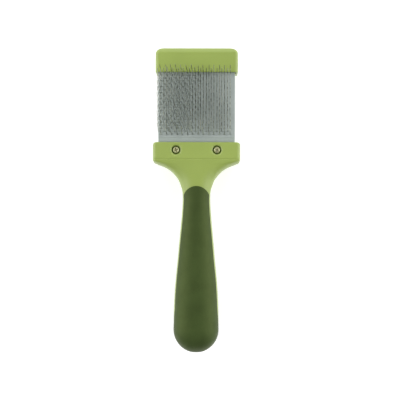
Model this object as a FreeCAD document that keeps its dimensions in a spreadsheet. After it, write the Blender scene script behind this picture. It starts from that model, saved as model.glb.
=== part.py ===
import FreeCAD, Part
import math
import os

import Sketcher
from FreeCAD import Placement, Rotation, Vector

# A double-sided slicker brush with a flexing head, in millimetres.
# The brush lies flat: +X across it, +Y from the butt of the handle to the cap, +Z out of the bent-pin face.
# The origin is the centre of its bounding box, so the butt end is at -overall_length / 2.
# Dimensions named as a place along the brush are measured from the butt end.

DIMENSIONS = [
    ("overall_length", 216.0, "butt end to the cap's end face"),
    ("running_gap", 0.05, "clearance around everything that turns"),
    # handle
    ("handle_width", 32.2, "widest, near the butt"),
    ("handle_depth", 24.4, "front to back at the widest place"),
    ("handle_roundness", 2.3, "superellipse power of the handle's cross-section"),
    ("dome_length", 17.0, "rounded butt, up to the widest place"),
    ("dome_power", 2.0, "superellipse power of the rounded butt"),
    ("butt_flat", 0.15, "how much of the rounded butt is cut off flat"),
    ("shell_wall", 3.6, "outer surface to the hollow inside"),
    ("flare_wall_share", 0.6, "how much of the wall the flare keeps along the brush"),
    ("hollow_end", 139.8, "upper end of the hollow in the handle"),
    # collar
    ("collar_low", 134.4, "lower edge"),
    ("collar_top", 149.6, "mouth that the leaves come out of"),
    ("collar_width", 61.6, ""),
    ("collar_depth", 21.0, ""),
    ("collar_slope_height", 3.2, "sloping face between the flat front and the flare"),
    ("collar_slope_depth", 0.42, ""),
    ("collar_low_corner", 2.4, ""),
    ("collar_top_corner", 2.0, ""),
    ("collar_edge", 1.5, "rounding around the flat faces"),
    # soft grips
    ("grip_thickness", 1.6, "sunk into the handle"),
    ("grip_proud", 0.25, "standing out of the handle"),
    ("grip_top", 118.7, "top of the grip's arch"),
    ("grip_arch_centre", 109.0, ""),
    ("grip_arch_half_width", 9.5, ""),
    ("seam_butt_height", 1.0, "width of the side strip at the butt"),
    ("seam_low", 32.0, "where the side strip stops widening quickly"),
    ("seam_low_height", 10.0, "width of the side strip there"),
    ("seam_top", 122.0, ""),
    ("seam_top_height", 8.8, "width of the side strip at the neck"),
    # pegs that locate the two handle shells
    ("peg_diameter", 4.0, ""),
    ("peg_length", 3.0, ""),
    ("peg_boss_diameter", 7.4, ""),
    ("peg_clearance", 0.1, "around and beyond a peg in its socket"),
    # leaves and pads
    ("root_axis", 144.1, "where the leaves turn inside the collar, on the screws' line"),
    ("tip_axis", 204.3, "where the leaves turn inside the cap"),
    ("axis_height", 4.6, "each leaf's turning axis above the middle plane"),
    ("bead_radius", 1.7, "round bead along each end of a leaf"),
    ("leaf_thickness", 1.6, ""),
    ("leaf_width", 54.2, ""),
    ("bow_radius", 300.0, "gentle outward bow of a leaf"),
    ("leaf_screw_hole", 4.0, "loose hole around a collar screw"),
    ("pad_thickness", 2.4, ""),
    ("pad_tuck", 1.2, "pad hidden under the collar's and the cap's lips"),
    # room for the leaves
    ("side_gap", 0.2, "beside the leaves"),
    ("mouth_half_height", 8.8, "room for leaf and pad to swing"),
    ("mouth_length", 2.0, ""),
    ("spacer_length", 5.65, ""),
    ("spacer_width", 52.0, ""),
    ("spacer_key", 55.6, "tip spacer's width, keyed into the cap's side walls"),
    ("overcut", 1.0, "how far a cutting shape passes the face that it opens"),
    # screws
    ("screw_spacing", 28.9, ""),
    ("screw_shank", 2.9, "diameter"),
    ("screw_point", 1.2, "length of the tapered end"),
    ("screw_point_diameter", 1.2, ""),
    ("screw_tip_depth", 9.2, "below the middle plane"),
    ("screw_seat_height", 7.7, "under the head, above the middle plane"),
    ("screw_head_diameter", 4.5, ""),
    ("screw_head_height", 2.3, ""),
    ("screw_head_edge", 0.7, "rounding of the pan head"),
    ("recess_slot", 1.0, "width of a slot of the cross recess"),
    ("recess_span", 3.3, "length of a slot of the cross recess"),
    ("recess_depth", 1.8, ""),
    ("shell_screw_hole", 3.2, "clearance hole in the front shell and the spacer"),
    ("thread_hole", 2.94, "hole in the back shell that the screw bites into"),
    ("counterbore_diameter", 6.4, ""),
    ("counterbore_rim", 7.8, "outer diameter of the bevel around the counterbore"),
    ("counterbore_bevel", 0.5, ""),
    # cap
    ("cap_low", 199.0, "lower edge"),
    ("cap_width", 58.2, ""),
    ("cap_depth", 20.4, ""),
    ("cap_corner", 4.1, ""),
    ("cap_bevel_height", 3.4, "sloping strip along the end of each face"),
    ("cap_bevel_depth", 1.5, ""),
    ("cap_edge", 1.3, "rounding along the sides"),
    ("cap_wall", 2.0, ""),
    ("cap_web", 1.8, "wall between the leaves' room and the hollow"),
    ("cap_peg_spacing", 34.0, ""),
    ("cap_peg_diameter", 3.0, ""),
    ("cap_boss_diameter", 5.6, ""),
    ("cheek_width", 1.0, "small tab under each side of the cap"),
    ("cheek_length", 1.2, ""),
    ("cheek_depth", 12.0, ""),
    # pins
    ("wire_diameter", 0.4, ""),
    ("row_count", 21, ""),
    ("first_row", 155.3, "row nearest the collar"),
    ("last_row", 196.7, "row nearest the cap"),
    ("staple_count", 7, "staples in a row"),
    ("staple_pitch", 7.4, "between neighbouring staples"),
    ("staple_span", 4.0, "between the legs of a staple"),
    ("staple_shift", -0.65, "middle of an odd row's staples, to +X of the pad's middle"),
    ("stagger", 1.85, "how far every second row is shifted"),
    ("crown_radius", 0.5, "bend where a leg meets the crown"),
    ("crown_cover", 0.05, "rubber between the crown and the leaf"),
    ("knee_radius", 1.5, ""),
    ("straight_height", 9.2, "straight tips above the pad"),
    ("bent_height", 9.01, "bent tips' middles above the pad"),
    ("lean_rise", 5.6, "height that a bent leg gains beyond its knee"),
    ("lean_reach", 5.4, "how far a bent leg's tip lies towards the cap"),
]

# Sections of the handle between the rounded butt and the collar:
# place along the brush, half width, half depth, superellipse power.
STATIONS = [
    (36.6, 15.7, 11.8, 2.3),
    (50.8, 14.8, 11.2, 2.3),
    (65.0, 13.45, 10.4, 2.3),
    (79.2, 12.2, 9.6, 2.3),
    (93.4, 10.85, 8.95, 2.3),
    (104.0, 10.05, 8.65, 2.3),
    (111.1, 9.85, 8.6, 2.3),
    (115.4, 10.25, 8.8, 2.4),
    (119.4, 11.5, 9.0, 2.5),
    (123.2, 13.1, 9.2, 2.65),
    (126.6, 15.65, 9.4, 2.85),
    (129.2, 18.3, 9.6, 3.1),
    (131.3, 21.5, 9.75, 3.4),
    (133.0, 25.2, 9.9, 3.8),
    (134.2, 28.4, 9.95, 4.2),
    (136.0, 29.4, 10.1, 4.6),
]
FLARE_START = 111.1

# Places along the handle of the pegs that locate its two shells.
PEG_PLACES = [28.0, 62.0, 98.0]

# How far a bent leg's tip lies to -X, for each staple of a row from -X to +X.
LEAN_SIDES = [0.8, 0.9, 0.7, 0.2, 0.1, 0.1, 0.1]

# How far each collar screw's cross recess is turned, in degrees.
RECESS_TURNS = {"left": 22.0, "right": -38.0}

SECTION_POINTS = 40

doc = FreeCAD.newDocument("slicker_brush")
sheet = doc.addObject("Spreadsheet::Sheet", "Dims")


class Length:
    """A number together with the sheet formula that gives it."""

    def __init__(self, number, formula):
        self.number = number
        self.formula = formula

    def _join(self, sign, other, number):
        if not isinstance(other, Length):
            other = Length(other, repr(other))
        return Length(number(self.number, other.number), f"({self.formula} {sign} {other.formula})")

    def __add__(self, other):
        return self._join("+", other, lambda a, b: a + b)

    def __sub__(self, other):
        return self._join("-", other, lambda a, b: a - b)

    def __mul__(self, other):
        return self._join("*", other, lambda a, b: a * b)

    def __truediv__(self, other):
        return self._join("/", other, lambda a, b: a / b)

    def __neg__(self):
        return Length(-self.number, f"(0 - {self.formula})")


ZERO = Length(0.0, "0")


def dim(alias):
    """A dimension of the sheet, as a Length."""
    return Length(float(sheet.get(alias)), f"Dims.{alias}")


def along(alias):
    """The Y of a place that the sheet gives as a distance from the butt end."""
    return dim(alias) - dim("overall_length") / 2


def root(length):
    return Length(math.sqrt(length.number), f"sqrt({length.formula})")


def write_sheet():
    for row, (alias, number, meaning) in enumerate(DIMENSIONS, start=1):
        sheet.set(f"A{row}", alias)
        sheet.set(f"B{row}", str(number))
        sheet.set(f"C{row}", meaning)
        sheet.setAlias(f"B{row}", alias)
    doc.recompute()


def bind(item, **formulas):
    """Binds properties of an object to the sheet; two underscores stand for a dot."""
    for name, length in formulas.items():
        item.setExpression(name.replace("__", "."), length.formula)


# ---------------------------------------------------------------- Part primitives and booleans


def box(name, low, high):
    item = doc.addObject("Part::Box", name)
    bind(item, Length=high[0] - low[0], Width=high[1] - low[1], Height=high[2] - low[2])
    bind(item, Placement__Base__x=low[0], Placement__Base__y=low[1], Placement__Base__z=low[2])
    return item


def upright_cylinder(name, x, y, low, high, diameter):
    """A cylinder along Z, from one height to another."""
    item = doc.addObject("Part::Cylinder", name)
    bind(item, Radius=diameter / 2, Height=high - low)
    bind(item, Placement__Base__x=x, Placement__Base__y=y, Placement__Base__z=low)
    return item


def fuse(name, *items):
    item = doc.addObject("Part::MultiFuse", name)
    item.Shapes = list(items)
    return item


def cut(name, base, tool):
    item = doc.addObject("Part::Cut", name)
    item.Base = base
    item.Tool = tool
    return item


def common(name, *items):
    item = doc.addObject("Part::MultiCommon", name)
    item.Shapes = list(items)
    return item


def mirrored(name, source):
    """The same shape on the other side of the middle plane."""
    item = doc.addObject("Part::Mirroring", name)
    item.Source = source
    item.Base = Vector(0, 0, 0)
    item.Normal = Vector(0, 0, 1)
    return item


def feature(name, shape):
    item = doc.addObject("Part::Feature", name)
    item.Shape = shape
    return item


# ---------------------------------------------------------------- PartDesign helpers


def new_body(name):
    return doc.addObject("PartDesign::Body", name)


def new_sketch(body, name, plane):
    sketch = body.newObject("Sketcher::SketchObject", name)
    origin_plane = next(f for f in body.Origin.OriginFeatures if f.Role == plane)
    sketch.AttachmentSupport = [(origin_plane, "")]
    sketch.MapMode = "FlatFace"
    return sketch


def pin_point(sketch, geometry, end, x, y):
    """Fixes one point of a sketch's geometry at a place bound to the sheet."""
    for kind, length in (("DistanceX", x), ("DistanceY", y)):
        if length is None:
            continue
        index = sketch.addConstraint(
            Sketcher.Constraint(kind, -1, 1, geometry, end, length.number)
        )
        sketch.setExpression(f"Constraints[{index}]", length.formula)


def draw_polygon(sketch, corners):
    points = [Vector(x.number, y.number, 0) for x, y in corners]
    first = sketch.GeometryCount
    count = len(points)
    for i in range(count):
        sketch.addGeometry(Part.LineSegment(points[i], points[(i + 1) % count]))
    for i in range(count):
        sketch.addConstraint(
            Sketcher.Constraint("Coincident", first + i, 2, first + (i + 1) % count, 1)
        )
        pin_point(sketch, first + i, 1, *corners[i])


def draw_circle(sketch, x, y, radius):
    index = sketch.addGeometry(
        Part.Circle(Vector(x.number, y.number, 0), Vector(0, 0, 1), radius.number)
    )
    pin_point(sketch, index, 3, x, y)
    size = sketch.addConstraint(Sketcher.Constraint("Radius", index, radius.number))
    sketch.setExpression(f"Constraints[{size}]", radius.formula)


def draw_arc_band(sketch, centre, radii, ends):
    """A band between two concentric arcs, closed by lines at the places given by ends."""
    low, high = ends
    arcs = []
    for radius in radii:
        angles = [
            math.atan2(
                math.sqrt(radius.number**2 - (end.number - centre[0].number) ** 2),
                end.number - centre[0].number,
            )
            for end in (high, low)
        ]
        middle = Vector(centre[0].number, centre[1].number, 0)
        circle = Part.Circle(middle, Vector(0, 0, 1), radius.number)
        arc = sketch.addGeometry(Part.ArcOfCircle(circle, *angles))
        size = sketch.addConstraint(Sketcher.Constraint("Radius", arc, radius.number))
        sketch.setExpression(f"Constraints[{size}]", radius.formula)
        pin_point(sketch, arc, 3, *centre)
        pin_point(sketch, arc, 1, high, None)
        pin_point(sketch, arc, 2, low, None)
        arcs.append(arc)
    inner, outer = (sketch.Geometry[arc] for arc in arcs)
    for end, inner_point, outer_point in (
        (1, inner.StartPoint, outer.StartPoint),
        (2, inner.EndPoint, outer.EndPoint),
    ):
        line = sketch.addGeometry(Part.LineSegment(inner_point, outer_point))
        sketch.addConstraint(Sketcher.Constraint("Coincident", line, 1, arcs[0], end))
        sketch.addConstraint(Sketcher.Constraint("Coincident", line, 2, arcs[1], end))


def pad(body, sketch, name, length):
    """A pad that grows equally to both sides of its sketch."""
    item = body.newObject("PartDesign::Pad", name)
    item.Profile = sketch
    item.SideType = "Symmetric"
    bind(item, Length=length)
    doc.recompute()
    return item


def pocket_through(body, sketch, name):
    """A pocket right through the body, both ways from its sketch."""
    before = body.Shape.Volume
    item = body.newObject("PartDesign::Pocket", name)
    item.Profile = sketch
    item.Type = "ThroughAll"
    item.SideType = "Symmetric"
    doc.recompute()
    if not body.Shape.Volume < before:
        raise RuntimeError(f"{name} cuts nothing")
    return item


def edges_where(shape, test):
    """Names of the edges that pass a test on their two ends and middle."""
    names = []
    for number, edge in enumerate(shape.Edges, start=1):
        points = [v.Point for v in edge.Vertexes]
        points.append(edge.valueAt((edge.FirstParameter + edge.LastParameter) / 2))
        if all(test(p) for p in points):
            names.append(f"Edge{number}")
    return names


def fillet(body, name, test, radius):
    """Rounds the edges of a body that pass a test."""
    base = body.Tip
    names = edges_where(base.Shape, test)
    if not names:
        raise RuntimeError(f"{name} finds no edges")
    item = body.newObject("PartDesign::Fillet", name)
    item.Base = (base, names)
    bind(item, Radius=radius)
    doc.recompute()
    return item


def near(a, b):
    return abs(a - b) < 1e-4


# ---------------------------------------------------------------- handle forms


def section_wire(y, half_width, half_depth, power):
    """A superellipse across the brush, as one smooth closed curve."""
    points = []
    for i in range(SECTION_POINTS):
        angle = 2 * math.pi * i / SECTION_POINTS
        c = math.cos(angle)
        s = math.sin(angle)
        x = math.copysign(abs(c) ** (2 / power), c) * half_width
        z = math.copysign(abs(s) ** (2 / power), s) * half_depth
        points.append(Vector(x, y, z))
    curve = Part.BSplineCurve()
    curve.interpolate(Points=points, PeriodicFlag=True)
    return Part.Wire([curve.toShape()])


def handle_form(inset, end):
    """The handle's outer form, or one inside it by inset, from the butt to the place end."""
    half_length = dim("overall_length").number / 2
    dome = dim("dome_length").number
    power = dim("dome_power").number
    half_width = dim("handle_width").number / 2 - inset
    half_depth = dim("handle_depth").number / 2 - inset
    roundness = dim("handle_roundness").number
    start = max(inset, 0.0)
    pole = start - dim("butt_flat").number
    wires = []
    for share in (0.0, 0.035, 0.1, 0.22, 0.4, 0.65, 1.0):
        place = start + share * (dome - start)
        drop = (dome - place) / (dome - pole)
        scale = (1 - drop**power) ** (1 / power)
        wires.append(
            section_wire(place - half_length, half_width * scale, half_depth * scale, roundness)
        )
    shift = inset * dim("flare_wall_share").number
    for place, width, depth, power in STATIONS:
        if place > FLARE_START:
            place += shift
        if place > end:
            break
        wires.append(section_wire(place - half_length, width - inset, depth - inset, power))
    return Part.makeLoft(wires, True, False, False, 5)


def collar_block():
    """The collar: a block with rounded corners and rims, and a slope under each flat face."""
    body = new_body("collar_block")
    half_width = dim("collar_width") / 2
    low = along("collar_low")
    top = along("collar_top")
    outline = new_sketch(body, "collar_outline", "XY_Plane")
    draw_polygon(outline, [(-half_width, low), (half_width, low), (half_width, top), (-half_width, top)])
    pad(body, outline, "collar_pad", dim("collar_depth"))

    def is_corner(y):
        return lambda p: near(abs(p.x), half_width.number) and near(p.y, y.number)

    fillet(body, "collar_low_corners", is_corner(low), dim("collar_low_corner"))
    fillet(body, "collar_top_corners", is_corner(top), dim("collar_top_corner"))
    face = dim("collar_depth") / 2
    fillet(body, "collar_rims", lambda p: near(abs(p.z), face.number), dim("collar_edge"))

    past = dim("overcut")
    slopes = new_sketch(body, "collar_slopes", "YZ_Plane")
    for side in (1, -1):
        draw_polygon(
            slopes,
            [
                (low - past, (face - dim("collar_slope_depth")) * side),
                (low, (face - dim("collar_slope_depth")) * side),
                (low + dim("collar_slope_height"), face * side),
                (low + dim("collar_slope_height"), (face + past) * side),
                (low - past, (face + past) * side),
            ],
        )
    pocket_through(body, slopes, "collar_slope_cut")
    return body


def half_space(name, side):
    """A box that holds everything on one side of the middle plane."""
    reach = dim("overall_length")
    low, high = (ZERO, reach) if side > 0 else (-reach, ZERO)
    return box(name, (-reach, -reach, low), (reach, reach, high))


def leaf_room(name, axis, mouth, sign):
    """Room for both leaves' ends: a channel around the beads and a taller mouth for the pads.

    sign is +1 where the mouth lies towards the cap, and -1 where it lies towards the butt.
    """
    half_width = dim("leaf_width") / 2 + dim("side_gap")
    gap = dim("running_gap")
    channel = dim("axis_height") + dim("bead_radius") + gap
    back = axis - (dim("bead_radius") + gap) * sign
    front = mouth + dim("overcut") * sign
    step = mouth - dim("mouth_length") * sign
    tall = dim("mouth_half_height")

    def span(a, b):
        return (a, b) if sign > 0 else (b, a)

    deep = span(back, front)
    wide = span(step, front)
    return [
        box(f"{name}_channel", (-half_width, deep[0], -channel), (half_width, deep[1], channel)),
        box(f"{name}_mouth", (-half_width, wide[0], -tall), (half_width, wide[1], tall)),
    ]


def screw_places():
    half = dim("screw_spacing") / 2
    return {"left": -half, "right": half}


# ---------------------------------------------------------------- handle shells and grips


def build_handle():
    outer_end = STATIONS[-1][0]
    outer = feature("handle_outer", handle_form(0.0, outer_end))
    hollow = feature("handle_hollow", handle_form(dim("shell_wall").number, dim("hollow_end").number))
    core = feature("handle_core", handle_form(dim("grip_thickness").number, outer_end))
    proud = feature("grip_outer", handle_form(-dim("grip_proud").number, dim("seam_top").number))

    # the layer that the front grip fills, under an arch at its top
    reach = dim("handle_width")
    arch_y = along("grip_arch_centre")
    skirt = box("grip_skirt", (-reach, -dim("overall_length"), ZERO), (reach, arch_y, reach))
    arch_disc = doc.addObject("Part::Ellipse", "grip_arch_outline")
    bind(
        arch_disc,
        MajorRadius=dim("grip_top") - dim("grip_arch_centre"),
        MinorRadius=dim("grip_arch_half_width"),
        Placement__Base__y=arch_y,
    )
    arch_disc.Placement = Placement(Vector(0, arch_y.number, 0), Rotation(Vector(0, 0, 1), 90))
    arch = doc.addObject("Part::Extrusion", "grip_arch")
    arch.Base = arch_disc
    arch.Dir = Vector(0, 0, 1)
    arch.Solid = True
    bind(arch, LengthFwd=reach)

    strip = new_body("seam_strip")
    sketch = new_sketch(strip, "seam_outline", "YZ_Plane")
    butt = -dim("overall_length") / 2 - dim("overcut")
    corners = [
        (butt, dim("seam_butt_height") / 2),
        (along("seam_low"), dim("seam_low_height") / 2),
        (along("seam_top"), dim("seam_top_height") / 2),
    ]
    draw_polygon(sketch, corners + [(y, -z) for y, z in reversed(corners)])
    pad(strip, sketch, "seam_pad", reach * 2)

    layer = cut("grip_layer", proud, core)
    region = fuse("grip_region", skirt, arch)
    blank = common("grip_blank", layer, region)
    front_grip = cut("front_grip", blank, strip)
    back_grip = mirrored("back_grip", front_grip)

    # hollow core with room for the leaves' roots
    whole = fuse("handle_whole", outer, collar_block())
    rooms = leaf_room("root", along("root_axis"), along("collar_top"), 1)
    inside = fuse("handle_inside", hollow, *rooms)
    hollowed = cut("handle_hollowed", whole, inside)

    face = dim("collar_depth") / 2
    past = dim("overcut")
    screw_y = along("root_axis")
    seat = dim("screw_seat_height")
    front_cuts = [front_grip]
    back_cuts = [back_grip]
    for side, x in screw_places().items():
        front_cuts.append(
            upright_cylinder(f"{side}_screw_way", x, screw_y, ZERO, seat + past, dim("shell_screw_hole"))
        )
        front_cuts.append(
            upright_cylinder(
                f"{side}_counterbore", x, screw_y, seat, face + past, dim("counterbore_diameter")
            )
        )
        bevel = doc.addObject("Part::Cone", f"{side}_counterbore_bevel")
        bind(
            bevel,
            Radius1=dim("counterbore_diameter") / 2,
            Radius2=dim("counterbore_rim") / 2,
            Height=dim("counterbore_bevel"),
            Placement__Base__x=x,
            Placement__Base__y=screw_y,
            Placement__Base__z=face - dim("counterbore_bevel"),
        )
        front_cuts.append(bevel)
        back_cuts.append(
            upright_cylinder(
                f"{side}_thread_way", x, screw_y, -dim("screw_tip_depth") - dim("running_gap"),
                ZERO, dim("thread_hole"),
            )
        )

    # bosses on the middle plane: pegs on the front shell, sockets in the back shell
    boss = dim("peg_boss_diameter")
    clearance = dim("peg_clearance")
    depth = dim("handle_depth") / 2
    front_bosses = []
    back_bosses = []
    pegs = []
    for number, place in enumerate(PEG_PLACES, start=1):
        y = Length(place, repr(place)) - dim("overall_length") / 2
        front_bosses.append(upright_cylinder(f"front_boss_{number}", ZERO, y, ZERO, depth, boss))
        back_bosses.append(upright_cylinder(f"back_boss_{number}", ZERO, y, -depth, ZERO, boss))
        pegs.append(
            upright_cylinder(f"peg_{number}", ZERO, y, -dim("peg_length"), ZERO, dim("peg_diameter"))
        )
        back_cuts.append(
            upright_cylinder(
                f"peg_socket_{number}", ZERO, y, -dim("peg_length") - clearance, ZERO,
                dim("peg_diameter") + clearance * 2,
            )
        )

    for side, bosses, cuts, extra in (
        ("front", front_bosses, front_cuts, pegs),
        ("back", back_bosses, back_cuts, []),
    ):
        half = common(f"{side}_half", hollowed, half_space(f"{side}_side", 1 if side == "front" else -1))
        inner = common(f"{side}_bosses", fuse(f"{side}_boss_set", *bosses), core)
        filled = fuse(f"{side}_filled", half, inner, *extra)
        cut(f"{side}_shell", filled, fuse(f"{side}_cuts", *cuts))


# ---------------------------------------------------------------- screws


def build_screw(side, x):
    """A pan-head screw along Z, with a cross recess."""
    body = new_body(f"collar_screw_{side}")
    seat = dim("screw_seat_height")
    top = seat + dim("screw_head_height")
    tip = -dim("screw_tip_depth")
    shank = dim("screw_shank") / 2
    head = dim("screw_head_diameter") / 2
    profile = new_sketch(body, f"{side}_screw_profile", "XZ_Plane")
    draw_polygon(
        profile,
        [
            (ZERO, tip),
            (dim("screw_point_diameter") / 2, tip),
            (shank, tip + dim("screw_point")),
            (shank, seat),
            (head, seat),
            (head, top),
            (ZERO, top),
        ],
    )
    turned = body.newObject("PartDesign::Revolution", f"{side}_screw_turned")
    turned.Profile = profile
    turned.ReferenceAxis = (profile, ["V_Axis"])
    turned.Angle = 360
    doc.recompute()

    def is_rim(p):
        return near(p.z, top.number) and near(math.hypot(p.x, p.y), head.number)

    fillet(body, f"{side}_screw_rim", is_rim, dim("screw_head_edge"))

    cross = new_sketch(body, f"{side}_screw_cross", "XY_Plane")
    bottom = top - dim("recess_depth")
    cross.AttachmentOffset = Placement(Vector(0, 0, bottom.number), Rotation())
    cross.setExpression("AttachmentOffset.Base.z", bottom.formula)
    arm = dim("recess_span") / 2
    slot = dim("recess_slot") / 2
    corner_signs = [(1, 1), (-1, 1), (-1, -1), (1, -1)]
    corners = []
    for number, (a, b) in enumerate(corner_signs):
        ends = [(arm * a, slot * b), (slot * a, slot * b), (slot * a, arm * b)]
        corners += ends if number % 2 == 0 else list(reversed(ends))
    draw_polygon(cross, corners)
    before = body.Shape.Volume
    recess = body.newObject("PartDesign::Pocket", f"{side}_screw_recess")
    recess.Profile = cross
    recess.Type = "ThroughAll"
    recess.Reversed = True
    doc.recompute()
    if not body.Shape.Volume < before:
        raise RuntimeError("the cross recess cuts nothing")

    y = along("root_axis")
    turn = Rotation(Vector(0, 0, 1), RECESS_TURNS[side])
    body.Placement = Placement(Vector(x.number, y.number, 0), turn)
    bind(body, Placement__Base__x=x, Placement__Base__y=y)


# ---------------------------------------------------------------- leaves, pads and spacers


def bow_centre():
    """Centre of a leaf's arc, as (Y, Z): its middle line passes through both turning axes."""
    middle = (along("root_axis") + along("tip_axis")) / 2
    half_span = (dim("tip_axis") - dim("root_axis")) / 2
    rise = root(dim("bow_radius") * dim("bow_radius") - half_span * half_span)
    return middle, dim("axis_height") - rise


def drill_for_screws(body, name, diameter):
    holes = new_sketch(body, f"{name}_holes", "XY_Plane")
    for x in screw_places().values():
        draw_circle(holes, x, along("root_axis"), diameter / 2)
    pocket_through(body, holes, f"{name}_drilled")


def build_leaves():
    leaf = new_body("front_leaf")
    half = dim("leaf_thickness") / 2
    band = new_sketch(leaf, "leaf_band", "YZ_Plane")
    radii = (dim("bow_radius") - half, dim("bow_radius") + half)
    draw_arc_band(band, bow_centre(), radii, (along("root_axis"), along("tip_axis")))
    pad(leaf, band, "leaf_pad", dim("leaf_width"))
    beads = new_sketch(leaf, "leaf_beads", "YZ_Plane")
    for axis in ("root_axis", "tip_axis"):
        draw_circle(beads, along(axis), dim("axis_height"), dim("bead_radius"))
    pad(leaf, beads, "leaf_bead_pad", dim("leaf_width"))
    drill_for_screws(leaf, "leaf", dim("leaf_screw_hole"))
    mirrored("back_leaf", leaf)

    rubber = new_body("front_pad")
    band = new_sketch(rubber, "pad_band", "YZ_Plane")
    inner = dim("bow_radius") + half
    tuck = dim("pad_tuck")
    ends = (along("collar_top") - tuck, along("cap_low") + tuck)
    draw_arc_band(band, bow_centre(), (inner, inner + dim("pad_thickness")), ends)
    pad(rubber, band, "pad_pad", dim("leaf_width"))
    mirrored("back_pad", rubber)


def spacer_half_height():
    return dim("axis_height") - dim("bead_radius") - dim("running_gap")


def build_spacers():
    """Bars between the two leaves' beads, in the collar and in the cap."""
    behind = dim("bead_radius") + dim("running_gap")
    length = dim("spacer_length")
    for name, low, width in (
        ("root_spacer", along("root_axis") - behind, dim("spacer_width")),
        ("tip_spacer", along("tip_axis") + behind - length, dim("spacer_key")),
    ):
        body = new_body(name)
        outline = new_sketch(body, f"{name}_outline", "XY_Plane")
        half = width / 2
        high = low + length
        draw_polygon(outline, [(-half, low), (half, low), (half, high), (-half, high)])
        pad(body, outline, f"{name}_pad", spacer_half_height() * 2)
        if name == "root_spacer":
            drill_for_screws(body, name, dim("shell_screw_hole"))


# ---------------------------------------------------------------- cap


def cap_block():
    """The cap's outer form, solid, with the small tabs under its sides."""
    body = new_body("cap_block")
    half_width = dim("cap_width") / 2
    low = along("cap_low")
    end = dim("overall_length") / 2
    face = dim("cap_depth") / 2
    past = dim("overcut")
    outline = new_sketch(body, "cap_outline", "XY_Plane")
    draw_polygon(outline, [(-half_width, low), (half_width, low), (half_width, end), (-half_width, end)])
    pad(body, outline, "cap_pad", dim("cap_depth"))

    bevels = new_sketch(body, "cap_bevels", "YZ_Plane")
    for side in (1, -1):
        draw_polygon(
            bevels,
            [
                (end - dim("cap_bevel_height"), face * side),
                (end, (face - dim("cap_bevel_depth")) * side),
                (end + past, (face - dim("cap_bevel_depth")) * side),
                (end + past, (face + past) * side),
                (end - dim("cap_bevel_height"), (face + past) * side),
            ],
        )
    pocket_through(body, bevels, "cap_bevel_cut")

    def is_corner(p):
        return near(abs(p.x), half_width.number) and near(p.y, end.number)

    fillet(body, "cap_corners", is_corner, dim("cap_corner"))

    def is_side(p):
        below = p.y < (end - dim("cap_corner")).number + 0.01
        return near(abs(p.x), half_width.number) and near(abs(p.z), face.number) and below

    fillet(body, "cap_sides", is_side, dim("cap_edge"))

    tabs = new_sketch(body, "cap_cheeks", "XY_Plane")
    inner = dim("leaf_width") / 2 + dim("side_gap")
    outer = inner + dim("cheek_width")
    for side in (1, -1):
        draw_polygon(
            tabs,
            [
                (inner * side, low + past),
                (inner * side, low - dim("cheek_length")),
                ((inner + dim("cheek_width") / 4) * side, low - dim("cheek_length")),
                (outer * side, low),
                (outer * side, low + past),
            ],
        )
    pad(body, tabs, "cap_cheek_pad", dim("cheek_depth"))
    return body


def build_cap():
    half_width = dim("cap_width") / 2
    wall = dim("cap_wall")
    end = dim("overall_length") / 2
    face = dim("cap_depth") / 2
    gap = dim("running_gap")
    tip = along("tip_axis")
    room_end = tip + dim("bead_radius") + gap
    rooms = leaf_room("tip", tip, along("cap_low"), -1)
    key = dim("spacer_key") / 2 + gap
    key_height = spacer_half_height() + gap
    key_low = room_end - dim("spacer_length") - gap
    rooms.append(box("spacer_keyway", (-key, key_low, -key_height), (key, room_end, key_height)))
    hollow = box(
        "cap_hollow",
        (-half_width + wall * 1.5, room_end + dim("cap_web"), -face + wall),
        (half_width - wall * 1.5, end - wall, face - wall),
    )
    hollowed = cut("cap_hollowed", cap_block(), fuse("cap_inside", hollow, *rooms))

    peg_y = (room_end + dim("cap_web") + end - wall) / 2
    boss = dim("cap_boss_diameter")
    clearance = dim("peg_clearance")
    inner_face = face - wall / 2
    front_parts = []
    back_parts = []
    sockets = []
    for side, sign in (("left", -1), ("right", 1)):
        x = dim("cap_peg_spacing") / 2 * sign
        front_parts.append(upright_cylinder(f"cap_front_boss_{side}", x, peg_y, ZERO, inner_face, boss))
        front_parts.append(
            upright_cylinder(f"cap_peg_{side}", x, peg_y, -dim("peg_length"), ZERO, dim("cap_peg_diameter"))
        )
        back_parts.append(upright_cylinder(f"cap_back_boss_{side}", x, peg_y, -inner_face, ZERO, boss))
        sockets.append(
            upright_cylinder(
                f"cap_socket_{side}", x, peg_y, -dim("peg_length") - clearance, ZERO,
                dim("cap_peg_diameter") + clearance * 2,
            )
        )
    front_half = common("cap_front_half", hollowed, half_space("cap_front_side", 1))
    back_half = common("cap_back_half", hollowed, half_space("cap_back_side", -1))
    fuse("cap_front_shell", front_half, *front_parts)
    cut("cap_back_shell", fuse("cap_back_filled", back_half, *back_parts), fuse("cap_sockets", *sockets))


# ---------------------------------------------------------------- pins


def rounded_path(points, radii):
    """Straight runs joined by tangent arcs, through a list of points with a radius at each inner one."""
    edges = []
    start = points[0]
    for before, corner, after, radius in zip(points, points[1:], points[2:], radii):
        toward = (corner - before).normalize()
        onward = (after - corner).normalize()
        turn = toward.getAngle(onward)
        tangent = radius * math.tan(turn / 2)
        arc_start = corner - toward * tangent
        arc_end = corner + onward * tangent
        bisector = (onward - toward).normalize()
        arc_middle = corner + bisector * (radius / math.cos(turn / 2) - radius)
        edges.append(Part.LineSegment(start, arc_start).toShape())
        edges.append(Part.Arc(arc_start, arc_middle, arc_end).toShape())
        start = arc_end
    edges.append(Part.LineSegment(start, points[-1]).toShape())
    return Part.Wire(edges)


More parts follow.
